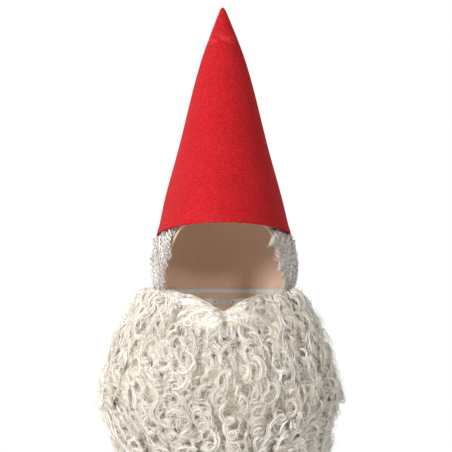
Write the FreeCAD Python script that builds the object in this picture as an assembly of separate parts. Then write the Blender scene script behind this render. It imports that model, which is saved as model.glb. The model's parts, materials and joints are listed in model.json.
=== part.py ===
import FreeCAD, Part

import math
import os

# Gnome fancy-dress set as it is worn: pointed felt hat, short curly wig, curly beard with moustache.
# Millimetres. The front faces -Y and +Z is up. The origin is on the head's middle plane, level with
# the hat's lower edge at the temples. The wearer's head isn't part of the set. It is only a smooth
# ellipsoid here, which the wig's layers are offset from.

X_AXIS = FreeCAD.Vector(1, 0, 0)
Y_AXIS = FreeCAD.Vector(0, 1, 0)
Z_AXIS = FreeCAD.Vector(0, 0, 1)
REACH = 400.0  # longer than any piece, for cutting prisms
GAP = 0.1  # between layers that are sewn together

# Head form
HEAD_CENTRE_Y = 3.0
HEAD_CENTRE_Z = -34.0
HEAD_HALF_WIDTH = 72.5
HEAD_HALF_DEPTH = 91.0
HEAD_HALF_HEIGHT = 110.0

# Wig layers, as distances outside the head form
ELASTIC_LAYER = (0.3, 1.1)
BAND_LAYER = (0.3, 1.2)
CAP_LAYER = (1.3, 2.2)
WEFT_LAYER = (2.3, 2.8)
CURL_START = 2.9
CROWN_CURL_END = 9.0
SIDE_CURL_END = 9.2
BACK_CURL_END = 13.0
SIDE_CURLS_FROM_X = 5.0

# Hat
HAT_HEIGHT = 267.0
HAT_HALF_WIDTH = 77.5
HAT_HALF_DEPTH = 103.0
HAT_TILT = 9.4  # degrees, worn tilted back
FELT = 2.0
STIFFENER = (2.1, 2.7)  # distances inside the felt's outer face
SWEATBAND = (2.8, 3.6)
HEM_FOLD = (2.1, 3.3)
SEAM_LAYER = (2.8, 4.0)
LABEL_LAYER = (3.7, 4.1)
TIP_THICKNESS = 9.0  # solid felt at the point
HEM_HEIGHTS = (0.2, 6.0)  # heights are up the hat's own axis
HEM_HEIGHT = HEM_HEIGHTS[1]
STIFFENER_HEIGHTS = (7.0, 237.0)
SWEATBAND_HEIGHTS = (7.5, 38.0)
SEAM_HEIGHTS = (39.0, 217.0)
LABEL_HEIGHTS = (10.0, 34.0)
SEAM_ALLOWANCES = ((-8.0, -0.2), (0.2, 8.0))  # x ranges of the two edges turned in at the back
LABEL_X = (12.0, 34.0)
CROWN_CLEARANCE = 4.8  # the crown curls stay this far inside the hat's outer face
BRIM_GAP = 1.0  # the hat's lower edge stands this far above the curls outside it
STITCH_COUNT = 140
STITCH_SIZE = (2.4, 0.5, 0.7)
STITCH_STAND = 1.0  # how far the stitches' line runs outside a straight line between hat sections
# height up the hat, half width, half depth: round at the point, oval where the head spreads it
HAT_SECTIONS = (
    (0.0, HAT_HALF_WIDTH, HAT_HALF_DEPTH),
    (36.0, 68.8, 90.0),
    (92.4, 54.0, 68.0),
    (154.0, 39.0, 46.0),
    (210.5, 23.5, 25.5),
    (244.4, 10.8, 11.2),
    (262.0, 3.6, 3.6),
    (HAT_HEIGHT, 1.5, 1.5),
)

# Side outline of the wig: front hairline down to the ear tab, round the ear, then down to the nape
HAIRLINE = ((-110, 23), (-72, 21), (-55, 8), (-47, -15), (-36, -38), (-27, -54))
HAIRLINE_INNER = ((-110, 33), (-68, 30), (-47, 13), (-38, -13), (-28, -35), (-18, -52))
EAR_NOTCH = ((-8, -55), (-5, -40), (6, -32), (18, -36), (24, -50), (26, -66))
NAPE_Y = 42.0
NAPE_Z = -94.0
NAPE_BAND_HEIGHT = 9.0
EAR_TAB = ((-24, -51), (-9, -33))  # y and z of two corners
WEFT_LEVELS = (-70.0, -52.0, -34.0, -16.0, 2.0, 20.0, 38.0, 54.0)
WEFT_HEIGHT = 3.0

# Nape adjusters run on a circle that just fits inside the cap
NAPE_CENTRE_Y = 33.0
NAPE_RADIUS = 51.9
NAPE_STRAP_THICK = 1.0
NAPE_STRAP_Z = (-80.0, -72.0)
NAPE_STRAP_ANGLES = (15.0, 36.0)
NAPE_LOOP_HALF = 7.0
HOOK_WIRE = 0.5
HOOK_RADIUS = 2.6

# Elastic round the back of the head
ELASTIC_Z = (-66.0, -60.0)
ELASTIC_SPLIT_Y = 20.0
ELASTIC_FRONT_Y = -6.0
TACK_LENGTH = 10.0

# Beard backing: level, half width, centre y, half depth of its outer face
BACKING_SECTIONS = (
    (-45.0, 72.4, 0.0, 95.0),
    (-90.0, 74.5, -1.0, 97.0),
    (-130.0, 78.0, -2.0, 99.0),
    (-190.0, 90.0, -6.0, 97.0),
    (-300.0, 102.0, -12.0, 92.0),
)
BACKING_THICK = 1.0
BACKING_BOTTOM = ((-82, -170), (-74, -215), (-45, -252), (0, -264), (45, -252), (74, -215), (82, -170))
UPPER_EDGE = ((-90, -57), (-64, -61.5), (-22, -73), (0, -86.5), (22, -73), (64, -61.5), (90, -57))
BINDING_DROP = 6.0
BINDING_REAR_Y = -20.0
SEAM_HALF_WIDTH = 1.5
SEAM_Z = (-260.0, -116.0)
TACK_Z = (-68.0, -59.0)
BINDING_LAYER = (1.1, 1.9)  # inside the backing's outer face
TAPE_LAYER = (0.1, 0.6)  # outside the backing's outer face
TAPE_HEIGHT = 3.0
TAPE_RISE = 8.0  # above the bottom of its row of curls
TAPE_CLEARANCE = 1.0  # round the mouth's binding
CURLS_START = 0.8  # outside the backing's outer face
MOUTH_Z = -104.0
MOUTH_HALF = (26.0, 7.0)
MOUTH_SLOT = (23.0, 6.0)
MOUTH_RIM = 3.0

# Beard curls: level, half width, centre y, half depth
CURL_SECTIONS = (
    (-50.0, 80.0, -20.0, 95.0),
    (-76.0, 99.0, -28.0, 102.0),
    (-107.0, 119.0, -36.0, 110.0),
    (-140.0, 132.0, -42.0, 114.0),
    (-186.0, 138.0, -46.0, 114.0),
    (-220.0, 127.0, -52.0, 104.0),
    (-250.0, 115.0, -62.0, 88.0),
    (-275.0, 90.0, -78.0, 60.0),
    (-291.0, 50.0, -92.0, 32.0),
)
BEARD_REAR = ((-6, -50), (-7, -75), (-16, -110), (-32, -150), (-46, -190), (-60, -240), (-84, -292))
ROW_LEVELS = (-50.0, -92.0, -124.0, -156.0, -188.0, -220.0, -254.0, -292.0)

# Moustache layers, outside the backing's outer face
MOUSTACHE_LOWER = ((-70, -84), (-45, -97), (-22, -101), (0, -94), (22, -101), (45, -97), (70, -84))
MOUSTACHE_HALF_WIDTH = 62.0
MOUSTACHE_TACK = (7.7, 8.1)
MOUSTACHE_TAPE = (8.2, 9.0)
MOUSTACHE_HAIR = (9.1, 24.0)
MOUSTACHE_PARTING = 1.2
BEARD_BEHIND_MOUSTACHE = 7.2
MOUSTACHE_GAP = 1.2
MOUSTACHE_TAPE_DROP = 8.0
MOUSTACHE_TACK_WIDTH = 8.0

SIDES = {"left": -1, "right": 1}  # as seen from the front


def vector(x, y, z):
    return FreeCAD.Vector(x, y, z)


def block(x_range, y_range, z_range):
    """Box between two corners, each given as a (low, high) pair."""
    size = [high - low for low, high in (x_range, y_range, z_range)]
    return Part.makeBox(size[0], size[1], size[2], vector(x_range[0], y_range[0], z_range[0]))


def ring(level, half_width, centre_y, half_depth, points=20):
    """Closed oval wire in the plane z = level."""
    spots = []
    for i in range(points):
        turn = 2 * math.pi * i / points
        spots.append(vector(half_width * math.sin(turn), centre_y - half_depth * math.cos(turn), level))
    curve = Part.BSplineCurve()
    curve.interpolate(spots, PeriodicFlag=True)
    return Part.Wire(curve.toShape())


def tube(sections, inset=0.0):
    """Solid through oval sections (level, half width, centre y, half depth), each made smaller by inset."""
    wires = [ring(z, a - inset, y, b - inset) for z, a, y, b in sections]
    return Part.makeLoft(wires, True)


def head_form(distance):
    """Solid ellipsoid at this distance outside the head form."""
    stretch = FreeCAD.Matrix()
    stretch.scale(HEAD_HALF_WIDTH + distance, HEAD_HALF_DEPTH + distance, HEAD_HALF_HEIGHT + distance)
    shape = Part.makeSphere(1.0).transformGeometry(stretch)
    shape.translate(vector(0, HEAD_CENTRE_Y, HEAD_CENTRE_Z))
    return shape


def head_layer(layer):
    """Shell between two distances outside the head form."""
    return head_form(layer[1]).cut(head_form(layer[0]))


def smooth_edge(spots):
    curve = Part.BSplineCurve()
    curve.interpolate(spots)
    return curve.toShape()


def closed_prism(curves, direction):
    """Prism with a side made of curves, each a list of points, joined by straight lines."""
    edges = []
    for i, spots in enumerate(curves):
        edges.append(smooth_edge(spots))
        following = curves[(i + 1) % len(curves)][0]
        if spots[-1].distanceToPoint(following) > GAP:
            edges.append(Part.makeLine(spots[-1], following))
    face = Part.Face(Part.Wire(edges))
    return face.extrude(direction)


def side_spots(pairs):
    return [vector(-REACH / 2, y, z) for y, z in pairs]


def front_spots(pairs, drop=0.0):
    return [vector(x, -REACH / 2, z - drop) for x, z in pairs]


def wig_cover():
    """Prism along X with the wig's side outline."""
    hairline = side_spots(HAIRLINE)
    notch = side_spots(EAR_NOTCH)
    nape = side_spots(((NAPE_Y, NAPE_Z), (REACH / 2, NAPE_Z)))
    top = side_spots(((REACH / 2, REACH / 2), (HAIRLINE[0][0], REACH / 2)))
    return closed_prism([hairline, notch, nape, top], X_AXIS * REACH)


def below_curve(pairs, drop=0.0):
    """Everything below a curve seen from the front."""
    upper = front_spots(pairs, drop)
    left = pairs[0][0]
    right = pairs[-1][0]
    lower = front_spots(((right, -REACH), (left, -REACH)))
    return closed_prism([upper, lower], Y_AXIS * REACH)


def in_front_of(pairs):
    """Everything in front of a curve seen from the side."""
    rear = side_spots(pairs)
    front = side_spots(((-REACH / 2, pairs[-1][1]), (-REACH / 2, pairs[0][1])))
    return closed_prism([rear, front], X_AXIS * REACH)


def hat_form(inset=0.0, from_height=0.0, to_height=HAT_HEIGHT):
    """Solid cone of the hat, upright, made smaller by inset."""
    sections = []
    for height, half_width, half_depth in HAT_SECTIONS:
        if half_width > inset + 1.0:
            sections.append((height, half_width, HEAD_CENTRE_Y, half_depth))
    form = tube(sections, inset)
    wide = (-REACH / 2, REACH / 2)
    return form.common(block(wide, wide, (from_height, to_height)))


def tilted(shape):
    """Turns a shape of the upright hat to the way the hat is worn."""
    turned = shape.copy()
    turned.rotate(vector(0, HEAD_CENTRE_Y, 0), X_AXIS, -HAT_TILT)
    return turned


def brim_half_space(above, offset):
    """Block above or below the plane of the hat's lower edge, moved by offset."""
    wide = (-REACH / 2, REACH / 2)
    span = (offset, REACH) if above else (-REACH, offset)
    return tilted(block(wide, wide, span))


def hat_ring(layer, heights):
    """Ring of a layer inside the hat's wall between two heights."""
    outer = hat_form(layer[0], heights[0], heights[1])
    inner = hat_form(layer[1], heights[0], heights[1])
    return tilted(outer.cut(inner))


def hem_stitches():
    """Short stitches on the felt's outer face, along the top of the hem."""
    length, thick, tall = STITCH_SIZE
    low, high = HAT_SECTIONS[0], HAT_SECTIONS[1]
    part_way = HEM_HEIGHT / high[0]
    half_width = low[1] + (high[1] - low[1]) * part_way + STITCH_STAND
    half_depth = low[2] + (high[2] - low[2]) * part_way + STITCH_STAND
    stitches = []
    for i in range(STITCH_COUNT):
        turn = 2 * math.pi * (i + 0.5) / STITCH_COUNT
        stitch = Part.makeBox(length, thick, tall, vector(-length / 2, 0, -tall / 2))
        heading = math.degrees(math.atan2(half_depth * math.cos(turn), -half_width * math.sin(turn)))
        stitch.rotate(vector(0, 0, 0), Z_AXIS, heading + 180)
        spot = vector(half_width * math.cos(turn), half_depth * math.sin(turn) + HEAD_CENTRE_Y, HEM_HEIGHT)
        stitch.translate(spot)
        stitches.append(stitch)
    return tilted(Part.makeCompound(stitches))


def behind_hat_axis(x_range):
    """Block through the hat's rear half, between two values of x."""
    return tilted(block(x_range, (HEAD_CENTRE_Y, REACH / 2), (-REACH, REACH)))


def hat_parts():
    felt = tilted(hat_form().cut(hat_form(FELT, 0.0, HAT_HEIGHT - TIP_THICKNESS)))
    stiffener = hat_ring(STIFFENER, STIFFENER_HEIGHTS)
    sweatband = hat_ring(SWEATBAND, SWEATBAND_HEIGHTS)
    hem = hat_ring(HEM_FOLD, HEM_HEIGHTS)
    seam_wall = hat_ring(SEAM_LAYER, SEAM_HEIGHTS)
    seam_sides = [seam_wall.common(behind_hat_axis(x_range)) for x_range in SEAM_ALLOWANCES]
    label = hat_ring(LABEL_LAYER, LABEL_HEIGHTS).common(behind_hat_axis(LABEL_X))
    return {
        "hat_cone_felt": felt,
        "hat_stiffener": stiffener,
        "hat_sweatband": sweatband,
        "hat_hem_fold": hem,
        "hat_back_seam": Part.makeCompound(seam_sides),
        "hat_label_blank": label,
        "hat_hem_stitches": hem_stitches(),
    }


def wig_cap_parts(cover):
    wide = (-REACH / 2, REACH / 2)
    band = head_layer(BAND_LAYER)
    cap = head_layer(CAP_LAYER).common(cover)
    inner_line = list(reversed(side_spots(HAIRLINE_INNER)))
    front_strip = closed_prism([side_spots(HAIRLINE), inner_line], X_AXIS * REACH)
    nape_strip = block(wide, (NAPE_Y, REACH / 2), (NAPE_Z, NAPE_Z + NAPE_BAND_HEIGHT))
    parts = {
        "wig_cap_net": cap,
        "wig_front_band": band.common(front_strip).common(cover),
        "wig_nape_band": band.common(nape_strip),
    }
    (tab_y0, tab_z0), (tab_y1, tab_z1) = EAR_TAB
    for name, side in SIDES.items():
        across = (-REACH / 2, 0) if side < 0 else (0, REACH / 2)
        tab = band.common(block(across, (tab_y0, tab_y1), (tab_z0, tab_z1)))
        parts["wig_ear_tab_" + name] = tab.cut(front_strip)
    weft_shell = head_layer(WEFT_LAYER).common(cover)
    tapes = []
    for level in WEFT_LEVELS:
        tapes += weft_shell.common(block(wide, wide, (level, level + WEFT_HEIGHT))).Solids
    parts["wig_weft_tapes"] = Part.makeCompound(tapes)
    return parts


def wig_curl_parts(cover):
    inside = head_form(CURL_START)
    wide = (-REACH / 2, REACH / 2)
    under_hat = tilted(hat_form(CROWN_CLEARANCE))
    crown = head_form(CROWN_CURL_END).common(under_hat).cut(inside).common(cover)
    below = brim_half_space(False, -BRIM_GAP - GAP)
    side_hull = head_form(SIDE_CURL_END).cut(inside).common(cover).common(below)
    back_hull = head_form(BACK_CURL_END).cut(inside).common(cover).common(below)
    ear_y = EAR_NOTCH[3][0]
    parts = {
        "wig_curls_crown": crown,
        "wig_curls_back": back_hull.common(block(wide, (ear_y + GAP, REACH / 2), (-REACH, REACH))),
    }
    for name, side in SIDES.items():
        across = sorted((side * SIDE_CURLS_FROM_X, side * REACH / 2))
        parts["wig_curls_" + name] = side_hull.common(block(across, (-REACH / 2, ear_y), (-REACH, REACH)))
    return parts


def nape_arc(radius, thick, angles, heights):
    """Bent strip on the nape circle between two angles from the back, on the +X side."""
    outer = Part.makeCylinder(radius, heights[1] - heights[0], vector(0, 0, heights[0]), Z_AXIS,
                              angles[1] - angles[0])
    inner = Part.makeCylinder(radius - thick, heights[1] - heights[0], vector(0, 0, heights[0]), Z_AXIS,
                              angles[1] - angles[0])
    strip = outer.cut(inner)
    strip.rotate(vector(0, 0, 0), Z_AXIS, 90 - angles[1])
    strip.translate(vector(0, NAPE_CENTRE_Y, 0))
    return strip


def nape_parts():
    parts = {}
    loop_span = block((-NAPE_LOOP_HALF, NAPE_LOOP_HALF), (NAPE_Y, REACH / 2), NAPE_STRAP_Z)
    parts["nape_loop_tape"] = head_layer(BAND_LAYER).common(loop_span)
    strap = nape_arc(NAPE_RADIUS, NAPE_STRAP_THICK, NAPE_STRAP_ANGLES, NAPE_STRAP_Z)
    hook_angle = NAPE_STRAP_ANGLES[0] - math.degrees((HOOK_RADIUS + HOOK_WIRE + GAP) / NAPE_RADIUS)
    middle = NAPE_RADIUS - NAPE_STRAP_THICK / 2
    hook = Part.makeTorus(HOOK_RADIUS, HOOK_WIRE, vector(0, 0, 0), Y_AXIS)
    hook.translate(vector(0, middle, sum(NAPE_STRAP_Z) / 2))
    hook.rotate(vector(0, 0, 0), Z_AXIS, -hook_angle)
    hook.translate(vector(0, NAPE_CENTRE_Y, 0))
    for name, side in SIDES.items():
        for piece, shape in (("nape_strap_", strap), ("nape_hook_", hook)):
            parts[piece + name] = shape.copy() if side > 0 else shape.mirror(vector(0, 0, 0), X_AXIS)
    return parts


def elastic_parts():
    band = head_layer(ELASTIC_LAYER)
    wide = (-REACH / 2, REACH / 2)
    back = band.common(block(wide, (ELASTIC_SPLIT_Y, REACH / 2), ELASTIC_Z))
    parts = {"elastic_strap_back": back}
    for name, side in SIDES.items():
        across = (-REACH / 2, 0) if side < 0 else (0, REACH / 2)
        span = block(across, (ELASTIC_FRONT_Y, ELASTIC_SPLIT_Y - GAP), ELASTIC_Z)
        parts["elastic_side_" + name] = band.common(span)
    return parts


def backing_layer(layer):
    """Shell of the backing's form between two distances outside its outer face."""
    return tube(BACKING_SECTIONS, -layer[1]).cut(tube(BACKING_SECTIONS, -layer[0]))


def oval_prism(half_width, half_height, level):
    """Oval bar along Y at this level."""
    bar = Part.makeCylinder(1.0, REACH, vector(0, -REACH / 2, 0), Y_AXIS)
    stretch = FreeCAD.Matrix()
    stretch.scale(half_width, 1, half_height)
    bar = bar.transformGeometry(stretch)
    bar.translate(vector(0, 0, level))
    return bar.common(block((-REACH, REACH), (-REACH / 2, 0), (-REACH, REACH)))


def bib_outline():
    """Prism along Y with the backing's front outline."""
    upper = front_spots(UPPER_EDGE)
    lower = list(reversed(front_spots(BACKING_BOTTOM)))
    return closed_prism([upper, lower], Y_AXIS * REACH)


def beard_backing_parts(bib, front):
    shell = backing_layer((-BACKING_THICK, 0.0)).common(bib).common(front)
    mouth = oval_prism(MOUTH_HALF[0], MOUTH_HALF[1], MOUTH_Z)
    rim = oval_prism(MOUTH_HALF[0] + MOUTH_RIM, MOUTH_HALF[1] + MOUTH_RIM, MOUTH_Z).cut(mouth)
    tape_shell = backing_layer(TAPE_LAYER).common(bib).common(front)
    binding_shell = backing_layer((-BINDING_LAYER[1], -BINDING_LAYER[0])).common(bib)
    wide = (-REACH / 2, REACH / 2)
    margin = MOUTH_RIM + TAPE_CLEARANCE
    around_mouth = oval_prism(MOUTH_HALF[0] + margin, MOUTH_HALF[1] + margin, MOUTH_Z)
    tapes = []
    for level in ROW_LEVELS[1:-1]:
        heights = (level + TAPE_RISE, level + TAPE_RISE + TAPE_HEIGHT)
        tapes += tape_shell.common(block(wide, wide, heights)).cut(around_mouth).Solids
    binding_front = block(wide, (-REACH / 2, BINDING_REAR_Y), (-REACH, REACH))
    binding = binding_shell.cut(below_curve(UPPER_EDGE, BINDING_DROP)).common(binding_front)
    seam = binding_shell.common(block((-SEAM_HALF_WIDTH, SEAM_HALF_WIDTH), (-REACH / 2, 0), SEAM_Z))
    parts = {
        "beard_backing_net": shell.cut(mouth),
        "beard_mouth_binding": tape_shell.common(rim),
        "beard_top_binding": binding,
        "beard_centre_seam": seam,
        "beard_weft_tapes": Part.makeCompound(tapes),
    }
    for name, side in SIDES.items():
        across = (-REACH / 2, 0) if side < 0 else (0, REACH / 2)
        along = (ELASTIC_FRONT_Y - TACK_LENGTH, ELASTIC_FRONT_Y - 2 * GAP)
        span = block(across, along, TACK_Z)
        parts["strap_tack_" + name] = binding_shell.common(span).common(below_curve(UPPER_EDGE))
    return parts


def moustache_zone(gap):
    """Prism along Y with the moustache's front outline, made larger by gap at the bottom and sides."""
    reach = MOUSTACHE_HALF_WIDTH + gap
    upper = below_curve(UPPER_EDGE)
    zone = upper.cut(below_curve(MOUSTACHE_LOWER, gap))
    return zone.common(block((-reach, reach), (-REACH / 2, 0), (-REACH, 0)))


def beard_curl_parts(front):
    hull = tube(CURL_SECTIONS).cut(tube(BACKING_SECTIONS, -CURLS_START))
    hull = hull.common(front).common(below_curve_wide())
    room = moustache_zone(MOUSTACHE_GAP).cut(tube(BACKING_SECTIONS, -BEARD_BEHIND_MOUSTACHE))
    hull = hull.cut(room).cut(oval_prism(MOUTH_SLOT[0], MOUTH_SLOT[1], MOUTH_Z))
    wide = (-REACH / 2, REACH / 2)
    parts = {}
    for row in range(1, len(ROW_LEVELS)):
        span = (ROW_LEVELS[row] + GAP, ROW_LEVELS[row - 1])
        parts["beard_curls_row_%d" % row] = hull.common(block(wide, wide, span))
    return parts


def below_curve_wide():
    """Everything below the beard's upper edge, out to past the widest curls."""
    low = UPPER_EDGE[0][1]
    flank = block((-REACH / 2, REACH / 2), (-REACH / 2, REACH / 2), (-REACH, low))
    middle = block((UPPER_EDGE[0][0], UPPER_EDGE[-1][0]), (-REACH / 2, REACH / 2), (-REACH, low))
    return flank.cut(middle).fuse(below_curve(UPPER_EDGE))


def moustache_parts():
    zone = moustache_zone(0.0)
    hair = backing_layer(MOUSTACHE_HAIR).common(zone)
    strip = zone.cut(below_curve(UPPER_EDGE, MOUSTACHE_TAPE_DROP))
    tape = backing_layer(MOUSTACHE_TAPE).common(strip)
    parts = {"moustache_tape": tape}
    tack_shell = backing_layer(MOUSTACHE_TACK).common(strip)
    tacks = []
    for name, side in SIDES.items():
        near = MOUSTACHE_HALF_WIDTH - MOUSTACHE_TACK_WIDTH
        ends = sorted((side * near, side * MOUSTACHE_HALF_WIDTH))
        tacks.append(tack_shell.common(block(ends, (-REACH / 2, 0), (-REACH, 0))))
        across = sorted((side * MOUSTACHE_PARTING, side * REACH / 2))
        parts["moustache_hair_" + name] = hair.common(block(across, (-REACH / 2, 0), (-REACH, 0)))
    parts["moustache_tacks"] = Part.makeCompound(tacks)
    return parts


def main():
    os.makedirs("parts", exist_ok=True)
    cover = wig_cover()
    bib = bib_outline()
    front = in_front_of(BEARD_REAR)
    parts = {}
    parts.update(hat_parts())
    parts.update(wig_cap_parts(cover))
    parts.update(wig_curl_parts(cover))
    parts.update(nape_parts())
    parts.update(elastic_parts())
    parts.update(beard_backing_parts(bib, front))
    parts.update(beard_curl_parts(front))
    parts.update(moustache_parts())
    for name, shape in parts.items():
        shape.exportStep("parts/%s.step" % name)
        print("%-22s %d solids, valid %s, %.1f cm3" % (
            name, len(shape.Solids), shape.isValid(), shape.Volume / 1000))


main()
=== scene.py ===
import functools
import itertools
import json
import math

import bmesh
import bpy
import numpy as np
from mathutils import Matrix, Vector
from mathutils.bvhtree import BVHTree


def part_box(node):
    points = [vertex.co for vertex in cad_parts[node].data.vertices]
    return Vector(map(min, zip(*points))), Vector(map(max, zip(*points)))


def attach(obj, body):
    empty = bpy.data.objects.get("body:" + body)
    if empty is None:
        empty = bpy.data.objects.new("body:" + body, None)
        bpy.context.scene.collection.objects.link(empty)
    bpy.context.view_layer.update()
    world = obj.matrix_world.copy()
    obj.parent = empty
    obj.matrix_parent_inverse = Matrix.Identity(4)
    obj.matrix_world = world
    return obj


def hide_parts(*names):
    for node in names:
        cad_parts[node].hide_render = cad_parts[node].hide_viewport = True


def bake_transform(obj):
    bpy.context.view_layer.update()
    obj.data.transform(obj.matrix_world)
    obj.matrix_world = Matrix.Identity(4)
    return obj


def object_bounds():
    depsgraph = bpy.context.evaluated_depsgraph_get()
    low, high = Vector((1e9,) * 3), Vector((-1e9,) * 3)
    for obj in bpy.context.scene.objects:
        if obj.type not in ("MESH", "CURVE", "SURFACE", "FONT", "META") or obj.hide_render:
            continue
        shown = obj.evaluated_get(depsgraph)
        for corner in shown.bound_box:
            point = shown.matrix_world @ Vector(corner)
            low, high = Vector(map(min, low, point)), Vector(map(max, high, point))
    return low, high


# Gnome fancy-dress set: felt hat, curly wig, curly beard and moustache. The front faces -Y. Sizes are in mm
# unless they carry MM or come straight from the frame, which is in metres.

MM = 0.001
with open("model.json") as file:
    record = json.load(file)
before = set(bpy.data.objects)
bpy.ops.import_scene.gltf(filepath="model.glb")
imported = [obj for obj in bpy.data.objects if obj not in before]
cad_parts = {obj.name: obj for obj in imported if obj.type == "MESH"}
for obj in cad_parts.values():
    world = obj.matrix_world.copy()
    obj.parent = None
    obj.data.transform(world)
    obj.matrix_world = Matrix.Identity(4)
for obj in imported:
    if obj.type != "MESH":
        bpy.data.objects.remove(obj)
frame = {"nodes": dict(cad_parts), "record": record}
cad_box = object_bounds()
nodes = frame["nodes"]
joints = {joint["name"]: joint for joint in frame["record"]["behaviour"]["joints"]}


# ---- frame: sizes read from the CAD

def box_mm(node):
    low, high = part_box(node)
    return np.array(low) / MM, np.array(high) / MM


hat_axis = np.array(joints["hat_lift"]["axis"], float)
hat_axis /= np.linalg.norm(hat_axis)
hat_low, hat_high = box_mm("hat_cone_felt")
MIDDLE_Y = (hat_low[1] + hat_high[1]) / 2
HAT_BASE = np.array([0.0, MIDDLE_Y, 0.0]) * MM
HAT_SIDE = np.array([1.0, 0.0, 0.0])
HAT_FRONT = np.cross(HAT_SIDE, hat_axis) * -1.0  # from the hat's axis towards its front

cap_high = box_mm("wig_cap_net")[1]
CAP_OUTSIDE = 2.2  # how far the cap's outer face is from the head form
HEAD_DEPTH = 91.0  # from the head form's centre to its front
HEAD_CENTRE = np.array([0.0, MIDDLE_Y, -34.0])
HEAD_HALF = np.array([cap_high[0] - CAP_OUTSIDE, HEAD_DEPTH, cap_high[2] - CAP_OUTSIDE - HEAD_CENTRE[2]])
LEVEL = np.array([1.0, 1.0, 0.0])  # keeps a direction's level part


# ---- numbers and noise

def rng_for(name):
    """Random generator of its own for each piece, the same on every run."""
    return np.random.default_rng(sum((i + 1) * ord(c) for i, c in enumerate(name)))


def unit(v):
    return v / np.maximum(np.linalg.norm(v, axis=-1, keepdims=True), 1e-12)


def smooth(t):
    t = np.clip(t, 0.0, 1.0)
    return t * t * (3 - 2 * t)


LATTICE_STEPS = np.array([374761393, 668265263, 2147483647])
LATTICE_SEED_STEP = 1274126177
LATTICE_MIXES = ((13, 1103515245), (16, 2246822519))


def lattice(places, seed):
    """Repeatable random value from -1 to 1 at each point of a whole-number grid."""
    h = places @ LATTICE_STEPS + seed * LATTICE_SEED_STEP
    for shift, factor in LATTICE_MIXES:
        h = (h ^ (h >> shift)) * factor & 0xFFFFFFFF
    return ((h ^ (h >> 13)) & 0xFFFFFF) / 0x7FFFFF - 1.0


def noise(points, cell, seed=0):
    """Smooth noise from -1 to 1 at points (n, 3), with lumps the size of cell."""
    p = np.asarray(points) / cell
    base = np.floor(p).astype(np.int64)
    part = smooth(p - base)
    total = 0.0
    for corner in itertools.product((0, 1), repeat=3):
        weight = np.prod(np.abs(1 - np.array(corner) - part), axis=-1)
        total = total + weight * lattice(base + np.array(corner), seed)
    return total


def curve_at(spots, at):
    """Value of a list of (place, value) pairs at places in between."""
    spots = sorted(spots)
    return np.interp(at, [s[0] for s in spots], [s[1] for s in spots])


# ---- meshes

def mesh_object(name, points, loops, sizes):
    """New object from points (n, 3) in metres, and each face's corners in one flat list."""
    mesh = bpy.data.meshes.new(name)
    mesh.vertices.add(len(points))
    mesh.vertices.foreach_set("co", np.asarray(points, np.float32).ravel())
    mesh.loops.add(len(loops))
    mesh.loops.foreach_set("vertex_index", np.asarray(loops, np.int32))
    starts = np.concatenate([[0], np.cumsum(sizes)[:-1]]).astype(np.int32)
    mesh.polygons.add(len(sizes))
    mesh.polygons.foreach_set("loop_start", starts)
    mesh.update(calc_edges=True)
    mesh.validate()
    return smooth_piece(name, mesh)


def smooth_piece(name, mesh):
    """New object in the scene with this mesh, shaded smooth."""
    mesh.polygons.foreach_set("use_smooth", np.full(len(mesh.polygons), True))
    piece = bpy.data.objects.new(name, mesh)
    bpy.context.scene.collection.objects.link(piece)
    return piece


def add_values(piece, name, values):
    attribute = piece.data.attributes.new(name, "FLOAT", "POINT")
    attribute.data.foreach_set("value", np.asarray(values, np.float32).ravel())


CELL_SHAPE = 1.6  # columns to a row in the baked square, for cells that are about as wide as high
CELL_MARGIN = 0.1  # share of a cell left empty on each side


def bake_cells(count):
    """Lower corner and size of each strand's own part of the square that its colours are baked to."""
    columns = max(1, round(math.sqrt(count * CELL_SHAPE)))
    rows = math.ceil(count / columns)
    index = np.arange(count)
    corner = np.stack([(index % columns) / columns, (index // columns) / rows], axis=1)
    cell = np.array([1 / columns, 1 / rows])
    return corner + CELL_MARGIN * cell, (1 - 2 * CELL_MARGIN) * cell


def crests(paths):
    """How far each point of each strand is at the outermost place of its curl, from -1 to 1. It places the
    hair's painted highlights.
    """
    bend = unit(np.gradient(np.gradient(paths, axis=1), axis=1))
    outward = unit((paths - HEAD_CENTRE * MM) * LEVEL)
    return -np.sum(bend * outward, axis=-1)


def tube_points(paths, radii, sides):
    """Rings of points round each path, carried along it without twist."""
    n, k, _ = paths.shape
    along = unit(np.gradient(paths, axis=1))
    normal = np.empty_like(paths)
    helper = np.where(np.abs(along[:, 0, 2:3]) < 0.9, [[0.0, 0.0, 1.0]], [[1.0, 0.0, 0.0]])
    normal[:, 0] = unit(np.cross(along[:, 0], helper))
    for i in range(1, k):
        carried = normal[:, i - 1]
        carried = carried - np.sum(carried * along[:, i], axis=1, keepdims=True) * along[:, i]
        normal[:, i] = unit(carried)
    across = np.cross(along, normal)
    turn = 2 * np.pi * np.arange(sides) / sides
    ring = np.cos(turn)[:, None] * normal[:, :, None, :] + np.sin(turn)[:, None] * across[:, :, None, :]
    return (paths[:, :, None, :] + radii[:, :, None, None] * ring).reshape(-1, 3)


def tube_faces(n, k, sides):
    """Corners of the wall quads of n tubes of k rings, and of the caps at both ends, in one flat list."""
    s, i, j = np.meshgrid(np.arange(n), np.arange(k - 1), np.arange(sides), indexing="ij")
    here, after = (s * k + i) * sides, (s * k + i + 1) * sides
    j2 = (j + 1) % sides
    quads = np.stack([here + j, here + j2, after + j2, after + j], axis=-1)
    first = np.arange(n)[:, None] * k * sides + np.arange(sides)[::-1]
    last = (np.arange(n)[:, None] * k + k - 1) * sides + np.arange(sides)
    return np.concatenate([quads.ravel(), first.ravel(), last.ravel()])


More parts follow.
